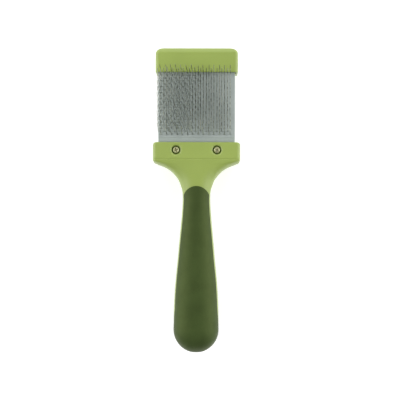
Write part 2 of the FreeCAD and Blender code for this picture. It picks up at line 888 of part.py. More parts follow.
def staple(name, bent, lean_side):
    """One wire staple: its crown lies under the pad, and its two legs pass up through it.

    Its origin is on the pad's face, midway between the legs, with Z along the lower legs.
    """
    half = dim("staple_span").number / 2
    wire = dim("wire_diameter").number / 2
    crown_z = dim("crown_cover").number + wire - dim("pad_thickness").number
    height = dim("bent_height" if bent else "straight_height").number
    crown = dim("crown_radius").number
    feet = [Vector(-half, 0, crown_z), Vector(half, 0, crown_z)]
    if bent:
        knee_z = height - dim("lean_rise").number
        lean = Vector(-lean_side, dim("lean_reach").number, dim("lean_rise").number)
        knees = [Vector(x, 0, knee_z) for x in (-half, half)]
        points = [knees[0] + lean, knees[0], *feet, knees[1], knees[1] + lean]
        knee = dim("knee_radius").number
        radii = [knee, crown, crown, knee]
    else:
        points = [Vector(-half, 0, height), *feet, Vector(half, 0, height)]
        radii = [crown, crown]
    path = rounded_path(points, radii)
    run = (points[1] - points[0]).normalize()
    profile = Part.Wire([Part.Circle(points[0], run, wire).toShape()])
    spine = feature(f"{name}_path", path)
    ring = feature(f"{name}_section", profile)
    swept = doc.addObject("Part::Sweep", name)
    swept.Sections = [ring]
    swept.Spine = (spine, [f"Edge{i}" for i in range(1, len(path.Edges) + 1)])
    swept.Solid = True
    swept.Frenet = False
    doc.recompute()
    expected = math.pi * wire**2 * path.Length
    if abs(swept.Shape.Volume - expected) > 0.01 * expected:
        raise RuntimeError(f"{name}: volume {swept.Shape.Volume:.4f}, expected {expected:.4f}")
    return swept


def build_pins():
    """Rows of staples, each standing square to the bowed pad; every second row is staggered."""
    centre_y, centre_z = bow_centre()
    surface = (dim("bow_radius") + dim("leaf_thickness") / 2 + dim("pad_thickness")).number
    rows = int(dim("row_count").number)
    count = int(dim("staple_count").number)
    pitch = dim("staple_pitch").number
    first = along("first_row").number
    step = (along("last_row").number - first) / (rows - 1)
    for side, bent in (("front", True), ("back", False)):
        seeds = [
            staple(f"{side}_staple_{number}", bent, lean_side).Shape
            for number, lean_side in enumerate(LEAN_SIDES, start=1)
        ]
        for row in range(rows):
            y = first + row * step
            tilt = math.asin((y - centre_y.number) / surface)
            z = centre_z.number + surface * math.cos(tilt)
            stand = Placement(Vector(0, y, z), Rotation(Vector(1, 0, 0), -math.degrees(tilt)))
            if side == "back":
                stand = Placement(Vector(0, 0, 0), Rotation(Vector(0, 1, 0), 180)).multiply(stand)
            shift = dim("staple_shift").number - dim("stagger").number * (row % 2)
            wires = []
            for number, seed in enumerate(seeds):
                x = shift + (number - (count - 1) / 2) * pitch
                place = stand.multiply(Placement(Vector(x, 0, 0), Rotation()))
                wires.append(seed.copy())
                wires[-1].Placement = place.multiply(seed.Placement)
            feature(f"{side}_pins_row_{row + 1:02d}", Part.makeCompound(wires))


# ---------------------------------------------------------------- checking and export

PIECES = [
    "front_shell",
    "back_shell",
    "front_grip",
    "back_grip",
    "collar_screw_left",
    "collar_screw_right",
    "root_spacer",
    "front_leaf",
    "back_leaf",
    "front_pad",
    "back_pad",
    "tip_spacer",
    "cap_front_shell",
    "cap_back_shell",
]


def node_names():
    rows = range(1, int(dim("row_count").number) + 1)
    return PIECES + [f"{side}_pins_row_{row:02d}" for side in ("front", "back") for row in rows]


def check_document():
    for item in doc.Objects:
        if {"Invalid", "Error"} & set(item.State):
            raise RuntimeError(f"{item.Name} failed: {item.State}")
    for name in node_names():
        shape = doc.getObject(name).Shape
        if shape.isNull() or not shape.isValid():
            raise RuntimeError(f"{name} has no valid shape")
        solids = int(dim("staple_count").number) if "_pins_" in name else 1
        if len(shape.Solids) != solids:
            raise RuntimeError(f"{name} has {len(shape.Solids)} solids, not {solids}")


def export_parts():
    os.makedirs("parts", exist_ok=True)
    for name in node_names():
        item = doc.getObject(name)
        item.Label = name
        item.Shape.exportStep(f"parts/{name}.step")


write_sheet()
build_handle()
for screw_side, screw_x in screw_places().items():
    build_screw(screw_side, screw_x)
build_leaves()
build_spacers()
build_cap()
build_pins()
doc.recompute()
check_document()
export_parts()
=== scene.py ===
import math
import random

import bmesh
import bpy
from mathutils import Matrix, Vector
from mathutils.kdtree import KDTree


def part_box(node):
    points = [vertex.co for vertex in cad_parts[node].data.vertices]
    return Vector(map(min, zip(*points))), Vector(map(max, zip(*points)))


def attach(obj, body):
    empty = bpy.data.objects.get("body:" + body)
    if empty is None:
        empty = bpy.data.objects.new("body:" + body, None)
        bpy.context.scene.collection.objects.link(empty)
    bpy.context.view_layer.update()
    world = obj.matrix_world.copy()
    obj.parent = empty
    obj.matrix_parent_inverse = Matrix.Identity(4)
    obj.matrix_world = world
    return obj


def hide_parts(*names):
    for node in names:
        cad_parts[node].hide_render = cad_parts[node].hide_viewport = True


# A double-sided slicker brush with a flexing head, lying flat.
# +X runs across it, +Y from the butt of the handle to the cap, +Z out of the bent-pin face.
# Sizes are in millimetres, and places along the brush are measured from the butt end, as in the CAD source.

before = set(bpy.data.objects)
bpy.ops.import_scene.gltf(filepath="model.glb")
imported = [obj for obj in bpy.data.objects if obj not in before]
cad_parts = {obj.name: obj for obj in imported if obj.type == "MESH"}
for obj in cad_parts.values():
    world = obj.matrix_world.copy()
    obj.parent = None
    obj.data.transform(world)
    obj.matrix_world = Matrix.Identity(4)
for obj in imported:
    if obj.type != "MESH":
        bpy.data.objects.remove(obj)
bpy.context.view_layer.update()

MM = 0.001
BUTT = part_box("front_shell")[0].y / MM

# Sections of the handle: place, half width, half depth, superellipse power.
DOME_LENGTH = 17.0
BUTT_FLAT = 0.06
WIDEST = (16.1, 12.2, 2.3)
STATIONS = [
    (36.6, 15.7, 11.8, 2.3),
    (50.8, 14.8, 11.2, 2.3),
    (65.0, 13.45, 10.4, 2.3),
    (79.2, 12.2, 9.6, 2.3),
    (93.4, 10.85, 8.95, 2.3),
    (104.0, 10.05, 8.65, 2.3),
    (111.1, 9.85, 8.6, 2.3),
    (115.4, 10.25, 8.8, 2.4),
    (119.4, 11.5, 9.0, 2.5),
    (123.2, 13.1, 9.2, 2.65),
    (126.6, 15.65, 9.4, 2.85),
    (129.2, 18.3, 9.6, 3.1),
    (131.3, 21.5, 9.77, 3.4),
    (133.0, 25.2, 9.92, 3.8),
    (134.2, 28.4, 10.05, 4.2),
    (136.0, 29.4, 10.28, 4.6),
]
FLARE_START = 111.1

# Collar
COLLAR_LOW = 134.4
COLLAR_TOP = 149.6
COLLAR_HALF_WIDTH = 30.8
COLLAR_HALF_DEPTH = 10.5
COLLAR_SLOPE = (3.2, 0.42)  # length, depth
COLLAR_LOW_CORNER = 2.4
COLLAR_TOP_CORNER = 2.0
COLLAR_EDGE = 2.2
COLLAR_TOP_EDGE = 0.5
CREASE_DEPTH = 0.22
CREASE_HALF_WIDTH = 0.3
SQUARE_START = 133.5
SQUARE_END = 137.0

# Collar screws
SCREW_PLACE = 144.1
SCREW_HALF_SPACING = 14.45
SCREW_SEAT = 7.7
SCREW_TIP = -9.2
SCREW_POINT_RADIUS = 0.6
SCREW_POINT_LENGTH = 1.2
SCREW_SHANK_RADIUS = 1.45
SCREW_HEAD_RADIUS = 2.25
SCREW_HEAD_HEIGHT = 2.3
SCREW_HEAD_EDGE = 1.05
SCREW_HEAD_CHAMFER = 0.1
SCREW_TOP_RADIUS = 0.5
RECESS_REACH = 1.65
RECESS_HALF_SLOT = 0.5
RECESS_DEPTH = 1.8
RECESS_FOOT = (0.45, 0.75)  # shares of the reach and the slot at the bottom
RECESS_OVERCUT = 0.2
RECESS_TURNS = {"left": 22, "right": -38}  # degrees
SCREW_WAY_RADIUS = 1.6
THREAD_HOLE_RADIUS = 1.47
COUNTERBORE_RADIUS = 3.2
COUNTERBORE_RIM = 3.9
COUNTERBORE_BEVEL = 0.5
COUNTERBORE_FLOOR_ROUND = 0.3
COUNTERBORE_GROOVE = 1.0

# Cap
CAP_LOW = 199.0
CAP_END = 216.0
CAP_HALF_WIDTH = 29.1
CAP_HALF_DEPTH = 10.2
CAP_CORNER = 4.1
CAP_BEVEL = (3.4, 1.5)  # length, depth
CAP_BEVEL_CURVE = 1.5
CAP_CREASE_HALF = 0.1
CAP_EDGE = 2.2
CAP_POWER = 4.0
CAP_LIP = 0.3
CAP_RIM = 0.4
CHEEK_WIDTH = 1.0
CHEEK_LENGTH = 0.8
CHEEK_HALF_DEPTH = 6.0
CHEEK_ROOT = 1.0

# Room for the leaves' ends
ROOT_AXIS = 144.1
TIP_AXIS = 204.3
MOUTH_HALF_WIDTH = 27.3
MOUTH_HALF_HEIGHT = 8.8
MOUTH_LENGTH = 2.0
CHANNEL_HALF_HEIGHT = 6.35
CHANNEL_BACK = 1.75
SPACER_LENGTH = 5.65
KEY_HALF_WIDTH = 27.85
KEY_HALF_HEIGHT = 2.9
OVERCUT = 3.0

# Fine detail of the mouldings
SECTION_RUNS = [(0, 38, 8), (38, 52, 8), (52, 90, 14)]  # side, corner and face: two angles, and steps
DOME_STEPS = 22
HANDLE_STEPS = 34
FLARE_STEPS = 40
SLOPE_STEPS = 14
COLLAR_STEPS = 10
CORNER_STEPS = 12
CAP_LIP_STEPS = 5
CAP_STEPS = 8
CAP_CORNER_STEPS = 18
PARTING_DEPTH = 0.22
PARTING_HALF = 0.16
PARTING_LIP = 0.01
PARTING_GAP = 0.02
PARTING_FULL_WIDTH = 10  # the groove is shallower where the half width is less
SOFT_EDGE = 0.16
SOFT_STEPS = 3
SOFT_CLEAR = 1.0  # edges nearer to the parting stay sharp
SHARP_ANGLE = 38
WELD = 0.002
NEAR = 0.01

# Grips
GRIP_PROUD = 0.25
GRIP_SUNK = 0.35
GRIP_EDGE = 0.22
GRIP_EDGE_ANGLE = 55
GRIP_ROWS = 40
GRIP_COLUMNS = 48
ARCH_ROWS = 18
ARCH_CENTRE = 109.0
ARCH_TOP = 118.7
ARCH_HALF_WIDTH = 9.5
SEAM = [(0.0, 0.5), (32.0, 5.0), (122.0, 4.4)]  # place, height
HALVINGS = 30

# Leaves and pads
AXIS_HEIGHT = 4.6
BEAD_RADIUS = 1.7
BEAD_SHARE = 0.995
BEAD_STEPS = 16
BEAD_ROOM = 2
LEAF_THICKNESS = 1.6
LEAF_HALF_WIDTH = 27.1
LEAF_EDGE = 0.4
LEAF_HOLE_RADIUS = 2.0
LEAF_ROWS = 40
LEAF_COLUMNS = 8
HOLE_REACH = 12
BOW_RADIUS = 300.0
PAD_THICKNESS = 2.4
PAD_TUCK = 1.2
PAD_END_GAP = 0.05
PAD_LIFT = 0.01
PAD_INSET = 0.02
PAD_EDGE = 0.5
PAD_EDGE_STEPS = 4
PAD_ROWS = 150
PAD_COLUMNS = 160
PAD_STEP_PLACE = 152.6
PAD_STEP_LENGTH = 0.8
PAD_STEP_DEPTH = 0.4
PUCKER_DEPTHS = (0.1, 0.75)  # least, most
PUCKER_RADIUS = 0.6
PUCKER_FADE = 14
PUCKER_LOW_SHARE = 0.8

# Wire pins
WIRE_RADIUS = 0.2
WIRE_SIDES = 8
WIRE_TIP = (0.5, 0.45)  # length and end radius, in wire radii
ARC_STEPS = 5
ROWS = 21
FIRST_ROW = 155.3
LAST_ROW = 196.7
STAPLES = 7
STAPLE_PITCH = 7.4
STAPLE_HALF_SPAN = 2.0
STAPLE_SHIFT = -0.65
STAGGER = 1.85
STRAIGHT_HEIGHT = 9.2
BENT_HEIGHT = 9.01
LEAN_REACH = 5.4
LEAN_RISE = 5.6
LEAN_SIDES = (0.8, 1.5, 1.4, 0.7, 0.2, 0.1, 0.1)  # to -X, for each staple of a row from -X
PIN_STRAYS = (0.18, 0.35, 0.35, 0.3, 0.14, 0.12, 0.12)
LOW_ROW_STRAY = 2.0  # times as much as in the upper rows
STRAIGHT_STRAY = 0.5  # times as much as a bent pin
STRAY_SEED = 7
KNEE_RADIUS = 1.5
CROWN_RADIUS = 0.5
CROWN_COVER = 0.05

# Camera, looking almost straight down
SENSOR = 36.0
CAMERA_HEIGHT = 610.0
CAMERA_SIDE = 6.5
CAMERA_AIM = (2.5, 0.8, 0.0)
CAMERA_ROLL = 0.19  # degrees
CAMERA_CLIP = (0.05, 10)
FRAME_WIDTH = 286.6  # what the view takes in at the aim

# Floor and light: places and sizes in metres, and fades by a direction's Z or Y
FLOOR_REACH = 4.0
SOFTBOX_SIDE = 0.75
SOFTBOX_HEIGHT = 0.62
SOFTBOX_SIZE = (0.7, 1.1)
SOFTBOX_POWER = 3
WORLD_LEVEL = 1.3
WORLD_OVERHEAD = 0.15
WORLD_OVERHEAD_FADE = (0.6, 0.92)
WORLD_NEAR_END = 0.05
WORLD_NEAR_END_FADE = (-0.85, -0.3)


# ---------------------------------------------------------------- materials


class Shader:
    """A material's node tree, built with short calls."""

    def __init__(self, name):
        self.material = bpy.data.materials.new(name)
        self.material.use_nodes = True
        self.tree = self.material.node_tree
        self.surface = self.tree.nodes["Principled BSDF"]
        self.place = self.node("ShaderNodeTexCoord").outputs["Object"]

    def node(self, kind, inputs=(), **properties):
        made = self.tree.nodes.new(kind)
        for name, value in properties.items():
            setattr(made, name, value)
        for key, value in dict(inputs).items():
            self.put(made.inputs[key], value)
        return made

    def put(self, socket, value):
        """Links an output to an input, or sets the input's value."""
        if isinstance(value, bpy.types.NodeSocket):
            self.tree.links.new(value, socket)
        else:
            socket.default_value = value

    def set(self, **values):
        """Sets inputs of the Principled shader; an underscore stands for a space."""
        for name, value in values.items():
            self.put(self.surface.inputs[name.replace("_", " ")], value)

    def noise(self, size_mm, detail=3.0, roughness=0.5, stretch=(1, 1, 1)):
        """Noise whose features are about this many millimetres across."""
        place = self.place
        if stretch != (1, 1, 1):
            place = self.node("ShaderNodeMapping", {"Vector": place, "Scale": stretch}).outputs[0]
        made = self.node(
            "ShaderNodeTexNoise",
            {"Vector": place, "Scale": 1 / (size_mm * MM), "Detail": detail, "Roughness": roughness},
        )
        return made.outputs["Fac"]

    def spots(self, size_mm):
        """Distance to scattered points this many millimetres apart."""
        made = self.node("ShaderNodeTexVoronoi", {"Vector": self.place, "Scale": 1 / (size_mm * MM)})
        return made.outputs["Distance"]

    def remap(self, value, low, high, to_low, to_high):
        return self.node(
            "ShaderNodeMapRange",
            {"Value": value, "From Min": low, "From Max": high, "To Min": to_low, "To Max": to_high},
        ).outputs[0]

    def level(self, value, at_low, at_high):
        """A plain level that follows a noise."""
        return self.remap(value, 0.3, 0.7, at_low, at_high)

    def mix(self, share, a, b):
        """A colour between two colours."""
        made = self.node("ShaderNodeMix", data_type="RGBA")
        self.put(made.inputs[0], share)
        self.put(made.inputs[6], a)
        self.put(made.inputs[7], b)
        return made.outputs[2]

    def cloud(self, value, a, b):
        """A colour that follows a noise from one colour to another."""
        return self.mix(self.remap(value, 0.35, 0.65, 0, 1), a, b)

    def bump(self, height, depth_mm, normal=None):
        made = self.node("ShaderNodeBump", {"Height": height, "Strength": 1.0, "Distance": depth_mm * MM})
        if normal is not None:
            self.put(made.inputs["Normal"], normal)
        return made.outputs[0]


def colour(red, green, blue):
    """An sRGB colour, 0 to 255, as a linear one."""
    shares = [value / 255 for value in (red, green, blue)]
    return (*[s / 12.92 if s <= 0.04045 else ((s + 0.055) / 1.055) ** 2.4 for s in shares], 1.0)


def lime_plastic():
    """Satin injection-moulded plastic with a fine spark-eroded texture."""
    shader = Shader("lime_plastic")
    tone = shader.cloud(shader.noise(35, 2), colour(151, 171, 80), colour(158, 178, 85))
    tone = shader.mix(shader.level(shader.noise(0.9, 4, 0.6), 0, 0.16), tone, colour(171, 190, 89))
    grain = shader.noise(0.35, 3, 0.65)
    normal = shader.bump(grain, 0.012, shader.bump(shader.noise(9, 2), 0.03))
    rough = shader.level(shader.noise(4, 5, 0.7), 0.36, 0.47)
    shader.set(Base_Color=tone, Roughness=rough, Normal=normal, IOR=1.5)
    shader.set(Subsurface_Weight=0.08, Subsurface_Scale=0.002, Subsurface_Radius=(1.0, 1.0, 0.35))
    shader.set(Coat_Weight=0.55, Coat_Roughness=0.42, Coat_IOR=1.6)
    return shader.material


def green_grip():
    """Dark olive soft-touch rubber, finely textured and slightly dusty in scattered specks."""
    shader = Shader("green_grip")
    tone = shader.cloud(shader.noise(14, 3), colour(50, 65, 32), colour(57, 73, 37))
    dust = shader.remap(shader.noise(0.5, 5, 0.7), 0.45, 0.75, 0, 0.22)
    tone = shader.mix(dust, tone, colour(84, 98, 54))
    grain = shader.spots(0.42)
    normal = shader.bump(grain, 0.018, shader.bump(shader.noise(6, 2), 0.04))
    rough = shader.level(shader.noise(3, 4, 0.6), 0.44, 0.56)
    shader.set(Base_Color=tone, Roughness=rough, Normal=normal, IOR=1.5)
    shader.set(Specular_IOR_Level=0.5, Specular_Tint=(0.85, 1.0, 0.4, 1.0))
    return shader.material


def grey_rubber():
    """Bluish grey pad rubber with a fine matt grain."""
    shader = Shader("grey_rubber")
    tone = shader.cloud(shader.noise(11, 3), colour(166, 176, 172), colour(174, 184, 180))
    fleck = shader.remap(shader.noise(0.6, 5, 0.7), 0.45, 0.8, 0, 0.3)
    tone = shader.mix(fleck, tone, colour(192, 198, 196))
    normal = shader.bump(shader.noise(0.25, 3, 0.6), 0.02, shader.bump(shader.noise(3, 2), 0.03))
    rough = shader.level(shader.noise(2, 4), 0.55, 0.7)
    shader.set(Base_Color=tone, Roughness=rough, Normal=normal, IOR=1.48)
    return shader.material


def leaf_plastic():
    """Smooth grey spring plastic of the leaves."""
    shader = Shader("leaf_plastic")
    share = shader.level(shader.noise(20, 2), 0, 1)
    tone = shader.mix(share, colour(120, 128, 130), colour(128, 136, 138))
    rough = shader.level(shader.noise(2.5, 5, 0.7, (1, 0.2, 1)), 0.3, 0.45)
    shader.set(Base_Color=tone, Roughness=rough, Normal=shader.bump(shader.noise(0.5, 3), 0.01), IOR=1.5)
    return shader.material


def spacer_plastic():
    """Black-green plastic of the inner spacers."""
    shader = Shader("spacer_plastic")
    tone = shader.mix(shader.level(shader.noise(8, 2), 0, 1), colour(46, 52, 44), colour(54, 60, 50))
    shader.set(Base_Color=tone, Roughness=shader.level(shader.noise(1.5, 4), 0.45, 0.6))
    shader.set(Normal=shader.bump(shader.noise(0.4, 3), 0.02))
    return shader.material


def screw_steel():
    """Nickel-plated screw steel with a fine grain and dull spots."""
    shader = Shader("screw_steel")
    stain = shader.remap(shader.noise(1.2, 4, 0.6), 0.45, 0.7, 0, 1)
    tone = shader.mix(stain, colour(218, 218, 176), colour(176, 174, 128))
    rough = shader.level(shader.noise(0.4, 5, 0.7), 0.42, 0.58)
    normal = shader.bump(shader.noise(0.3, 4), 0.008)
    shader.set(Base_Color=tone, Roughness=rough, Metallic=0.75, Normal=normal)
    return shader.material


def pin_steel():
    """Drawn wire, streaked along its length and tarnished in patches."""
    shader = Shader("pin_steel")
    streak = shader.noise(0.15, 4, 0.6, (1, 1, 0.06))
    tone = shader.cloud(streak, colour(176, 180, 168), colour(226, 228, 214))
    tarnish = shader.remap(shader.noise(2.4, 1, 0.5, (1, 0.2, 1)), 0.4, 0.6, 0.88, 0.06)
    tone = shader.mix(tarnish, tone, colour(94, 99, 86))
    rough = shader.level(shader.noise(0.8, 4), 0.26, 0.4)
    shader.set(Base_Color=tone, Roughness=rough, Metallic=1.0, Normal=shader.bump(streak, 0.004))
    return shader.material


def pale_floor():
    """Matt pale board that glows a little, so that shadows on it stay soft."""
    shader = Shader("pale_floor")
    tone = shader.mix(shader.noise(120, 2), colour(228, 228, 227), colour(231, 231, 230))
    shader.set(Base_Color=tone, Roughness=0.9, Specular_IOR_Level=0.1)
    shader.set(Emission_Color=(1, 1, 1, 1), Emission_Strength=0.55)
    return shader.material


MATERIALS = {
    make.__name__: make()
    for make in (
        lime_plastic,
        green_grip,
        grey_rubber,
        leaf_plastic,
        spacer_plastic,
        screw_steel,
        pin_steel,
        pale_floor,
    )
}


# ---------------------------------------------------------------- mesh helpers


def to_frame(point):
    """A point (x, place, z) in millimetres, in the frame's metres."""
    x, place, z = point
    return Vector((x, BUTT + place, z)) * MM


def new_object(name, points, faces):
    """An object of (x, place, z) points, welded and with its faces turned outward."""
    mesh = bpy.data.meshes.new(name)
    mesh.from_pydata([to_frame(point) for point in points], [], faces)
    shape = bmesh.new()
    shape.from_mesh(mesh)
    bmesh.ops.remove_doubles(shape, verts=shape.verts, dist=WELD * MM)
    bmesh.ops.recalc_face_normals(shape, faces=shape.faces)
    shape.to_mesh(mesh)
    shape.free()
    item = bpy.data.objects.new(name, mesh)
    bpy.context.scene.collection.objects.link(item)
    return item


def dress(item, slot, body, *nodes):
    """Gives a finished mesh its material and body, and the CAD nodes that it stands for."""
    item.data.materials.clear()
    item.data.materials.append(MATERIALS[slot])
    item.data.shade_smooth()
    item.data.set_sharp_from_angle(angle=math.radians(SHARP_ANGLE))
    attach(item, body)
    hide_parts(*nodes)


def apply_modifiers(item):
    """Leaves the modifiers' result as the item's plain mesh."""
    graph = bpy.context.evaluated_depsgraph_get()
    made = bpy.data.meshes.new_from_object(item.evaluated_get(graph))
    item.modifiers.clear()
    item.data = made


def combine(item, operation, *others):
    """Joins closed objects to an object or cuts them out of it, and removes them."""
    for other in others:
        step = item.modifiers.new(operation, "BOOLEAN")
        step.operation = operation
        step.solver = "EXACT"
        step.object = other
    apply_modifiers(item)
    for other in others:
        bpy.data.objects.remove(other)


def cut(item, *tools):
    """Cuts closed tools out of an object."""
    combine(item, "DIFFERENCE", *tools)


def box_tool(low, high):
    """A box between two corners, to cut with."""
    corners = [(x, y, z) for x in (low[0], high[0]) for y in (low[1], high[1]) for z in (low[2], high[2])]
    faces = [(0, 1, 3, 2), (4, 6, 7, 5), (0, 4, 5, 1), (2, 3, 7, 6), (0, 2, 6, 4), (1, 5, 7, 3)]
    return new_object("box_tool", corners, faces)


def turned(name, profile, centre, sides=48):
    """A solid turned about Z through a centre (x, place), from (radius, z) points that end on the axis."""
    points = []
    faces = []
    count = len(profile)
    for i in range(sides):
        angle = 2 * math.pi * i / sides
        for radius, z in profile:
            points.append((centre[0] + radius * math.cos(angle), centre[1] + radius * math.sin(angle), z))
        following = (i + 1) % sides
        for k in range(count - 1):
            faces.append((i * count + k, following * count + k, following * count + k + 1, i * count + k + 1))
    return new_object(name, points, faces)


def arc_points(centre, radius, start, stop, count):
    """Points on an arc of a (radius, z) profile, with angles in degrees."""
    angles = [math.radians(start + (stop - start) * i / count) for i in range(count + 1)]
    return [(centre[0] + radius * math.cos(a), centre[1] + radius * math.sin(a)) for a in angles]


def soften(item, width, test):
    """Rounds the sharp edges whose ends pass a test on (x, place, z) in millimetres."""
    shape = bmesh.new()
    shape.from_mesh(item.data)

    def passes(vert):
        x, y, z = vert.co / MM
        return test(x, y - BUTT, z)

    edges = [
        edge
        for edge in shape.edges
        if len(edge.link_faces) == 2
        and edge.calc_face_angle(0) > math.radians(SHARP_ANGLE)
        and all(passes(vert) for vert in edge.verts)
    ]
    bmesh.ops.bevel(
        shape,
        geom=edges,
        offset=width * MM,
        segments=SOFT_STEPS,
        profile=0.5,
        affect="EDGES",
        clamp_overlap=True,
    )
    shape.to_mesh(item.data)
    shape.free()


def skin_faces(rows, columns):
    """Quads of a grid of points, stored row by row."""
    corners = [i * columns + k for i in range(rows - 1) for k in range(columns - 1)]
    return [(a, a + 1, a + columns + 1, a + columns) for a in corners]


def half_shell(name, rows):
    """A closed half of a moulding: rows of points over it, a flat parting face, and flat ends."""
    columns = len(rows[0])
    points = [point for row in rows for point in row]
    faces = skin_faces(len(rows), columns)
    for i in range(len(rows) - 1):
        a = i * columns
        faces.append((a, a + columns, a + 2 * columns - 1, a + columns - 1))
    faces.append(tuple(range(columns)))
    faces.append(tuple(reversed(range((len(rows) - 1) * columns, len(rows) * columns))))
    return new_object(name, points, faces)


def tube_faces(rings, columns, base=0):
    """Faces of a closed tube: quads between its rings of points, and both ends."""
    faces = []
    for i in range(rings - 1):
        a = base + i * columns
        b = a + columns
        for k in range(columns):
            following = (k + 1) % columns
            faces.append((a + k, a + following, b + following, b + k))
    faces.append(tuple(base + k for k in reversed(range(columns))))
    last = base + (rings - 1) * columns
    faces.append(tuple(range(last, last + columns)))
    return faces


def smoothstep(share):
    """A share from 0 to 1 that starts and stops gently."""
    share = min(1.0, max(0.0, share))
    return share * share * (3 - 2 * share)


def mix(a, b, share):
    return a + (b - a) * share


def spread(start, stop, count):
    """Evenly spaced values, both ends included."""
    return [start + (stop - start) * i / count for i in range(count + 1)]


def early_steps(length, count):
    """Distances from 0 to a length that lie closest at 0, as a round edge needs."""
    return [length * (1 - math.cos(math.radians(a))) for a in spread(0, 90, count)]


def late_steps(length, count):
    """Distances from 0 to a length that lie closest at the length."""
    return [length * math.sin(math.radians(a)) for a in spread(0, 90, count)]


def turning_point(low, high, holds):
    """The value between two at which a test stops holding."""
    for _ in range(HALVINGS):
        middle = (low + high) / 2
        if holds(middle):
            low = middle
        else:
            high = middle
    return high


def interpolate(table, place):
    """The columns of a table at a place given in its first column, along a smooth curve."""

    def slope(i, k):
        if i == 0:
            return 0.0
        low, high = table[max(0, i - 1)], table[min(len(table) - 1, i + 1)]
        return (high[k] - low[k]) / (high[0] - low[0])

    i = min(len(table) - 1, max(1, sum(row[0] < place for row in table)))
    a, b = table[i - 1], table[i]
    span = b[0] - a[0]
    t = min(1.0, max(0.0, (place - a[0]) / span))
    values = []
    for k in range(1, len(a)):
        values.append(
            a[k] * (2 * t**3 - 3 * t**2 + 1)
            + b[k] * (3 * t**2 - 2 * t**3)
            + slope(i - 1, k) * span * (t**3 - 2 * t**2 + t)
            + slope(i, k) * span * (t**3 - t**2)
        )
    return values


def rounding(distance, radius):
    """How far an edge rounded to a radius has drawn in, at a distance from the face that it ends at."""
    if distance >= radius:
        return 0.0
    return radius - math.sqrt(max(0.0, radius**2 - (radius - distance) ** 2))


# ---------------------------------------------------------------- sections of the mouldings


def quarter(half_width, half_depth, power, edge, squareness):
    """A quarter of a section, side to face, as (x, z): a superellipse, a rounded rectangle or between."""
    points = []
    for run, (start, stop, count) in enumerate(SECTION_RUNS):
        for i in range(count + (run == len(SECTION_RUNS) - 1)):
            t = i / count
            angle = math.radians(mix(start, stop, t))
            c, s = math.cos(angle), math.sin(angle)
            reach = (abs(c) ** power + s**power) ** (-1 / power)
            turn = math.pi / 2 * t
            square_x = (
                half_width,
                half_width - edge + edge * math.cos(turn),
                (half_width - edge) * (1 - t),
            )[run]
            square_z = (
                (half_depth - edge) * t,
                half_depth - edge + edge * math.sin(turn),
                half_depth,
            )[run]
            points.append(
                (
                    mix(half_width * reach * c, square_x, squareness),
                    mix(half_depth * reach * s, square_z, squareness),
                )
            )
    return points


def half_section(place, size, side):
    """A row of points over one half, from one parting edge to the other, with a fine groove at each."""
    corner_points = quarter(*size)
    groove = min(1.0, size[0] / PARTING_FULL_WIDTH)
    x = corner_points[0][0]
    start = [(x - PARTING_DEPTH * groove, PARTING_GAP), (x - PARTING_LIP, PARTING_HALF * groove)]
    right = start + corner_points[1:]
    left = [(-x, z) for x, z in reversed(right[:-1])]
    return [(x, place, z * side) for x, z in right + left]


def shell_size(place):
    """The handle's and collar's section at a place."""
    if place < DOME_LENGTH:
        drop = (DOME_LENGTH - place) / (DOME_LENGTH + BUTT_FLAT)
        scale = math.sqrt(1 - drop**2)
        return WIDEST[0] * scale, WIDEST[1] * scale, WIDEST[2], COLLAR_EDGE, 0.0
    width, depth, power = interpolate([(DOME_LENGTH, *WIDEST)] + STATIONS, place)
    squareness = smoothstep((place - SQUARE_START) / (SQUARE_END - SQUARE_START))
    rise = place - COLLAR_LOW
    if rise > 0:
        corner = COLLAR_HALF_WIDTH - rounding(rise, COLLAR_LOW_CORNER)
        width = max(width, corner)
        slope_height, slope_depth = COLLAR_SLOPE
        depth = COLLAR_HALF_DEPTH - slope_depth * max(0.0, 1 - rise / slope_height)
        depth -= CREASE_DEPTH * max(0.0, 1 - abs(rise - slope_height) / CREASE_HALF_WIDTH)
        down = COLLAR_TOP - place
        width -= rounding(down, COLLAR_TOP_CORNER)
        depth -= rounding(down, COLLAR_TOP_EDGE)
    return width, depth, power, COLLAR_EDGE, squareness


def shell_places():
    """The places of the sections along the handle and collar."""
    dome = early_steps(DOME_LENGTH, DOME_STEPS)
    grip = spread(DOME_LENGTH, FLARE_START, HANDLE_STEPS)[1:]
    flare = spread(FLARE_START, COLLAR_LOW, FLARE_STEPS)[1:]
    crease = COLLAR_LOW + COLLAR_SLOPE[0]
    slope = spread(COLLAR_LOW, crease - CREASE_HALF_WIDTH, SLOPE_STEPS)[1:]
    corner = COLLAR_TOP - COLLAR_TOP_CORNER
    flat = [crease] + spread(crease + CREASE_HALF_WIDTH, corner, COLLAR_STEPS)
    top = [corner + step for step in late_steps(COLLAR_TOP_CORNER, CORNER_STEPS)[1:]]
    return dome + grip + flare + slope + flat + top


def cap_size(place):
    """The cap's section at a place."""
    rise = place - CAP_LOW
    down = CAP_END - place
    bevel_height, bevel_depth = CAP_BEVEL
    width = CAP_HALF_WIDTH - rounding(down, CAP_CORNER) - rounding(rise, CAP_LIP)
    depth = CAP_HALF_DEPTH - bevel_depth * max(0.0, 1 - down / bevel_height) ** CAP_BEVEL_CURVE
    depth -= rounding(down, CAP_RIM) + rounding(rise, CAP_LIP)
    return width, depth, CAP_POWER, CAP_EDGE, 1.0


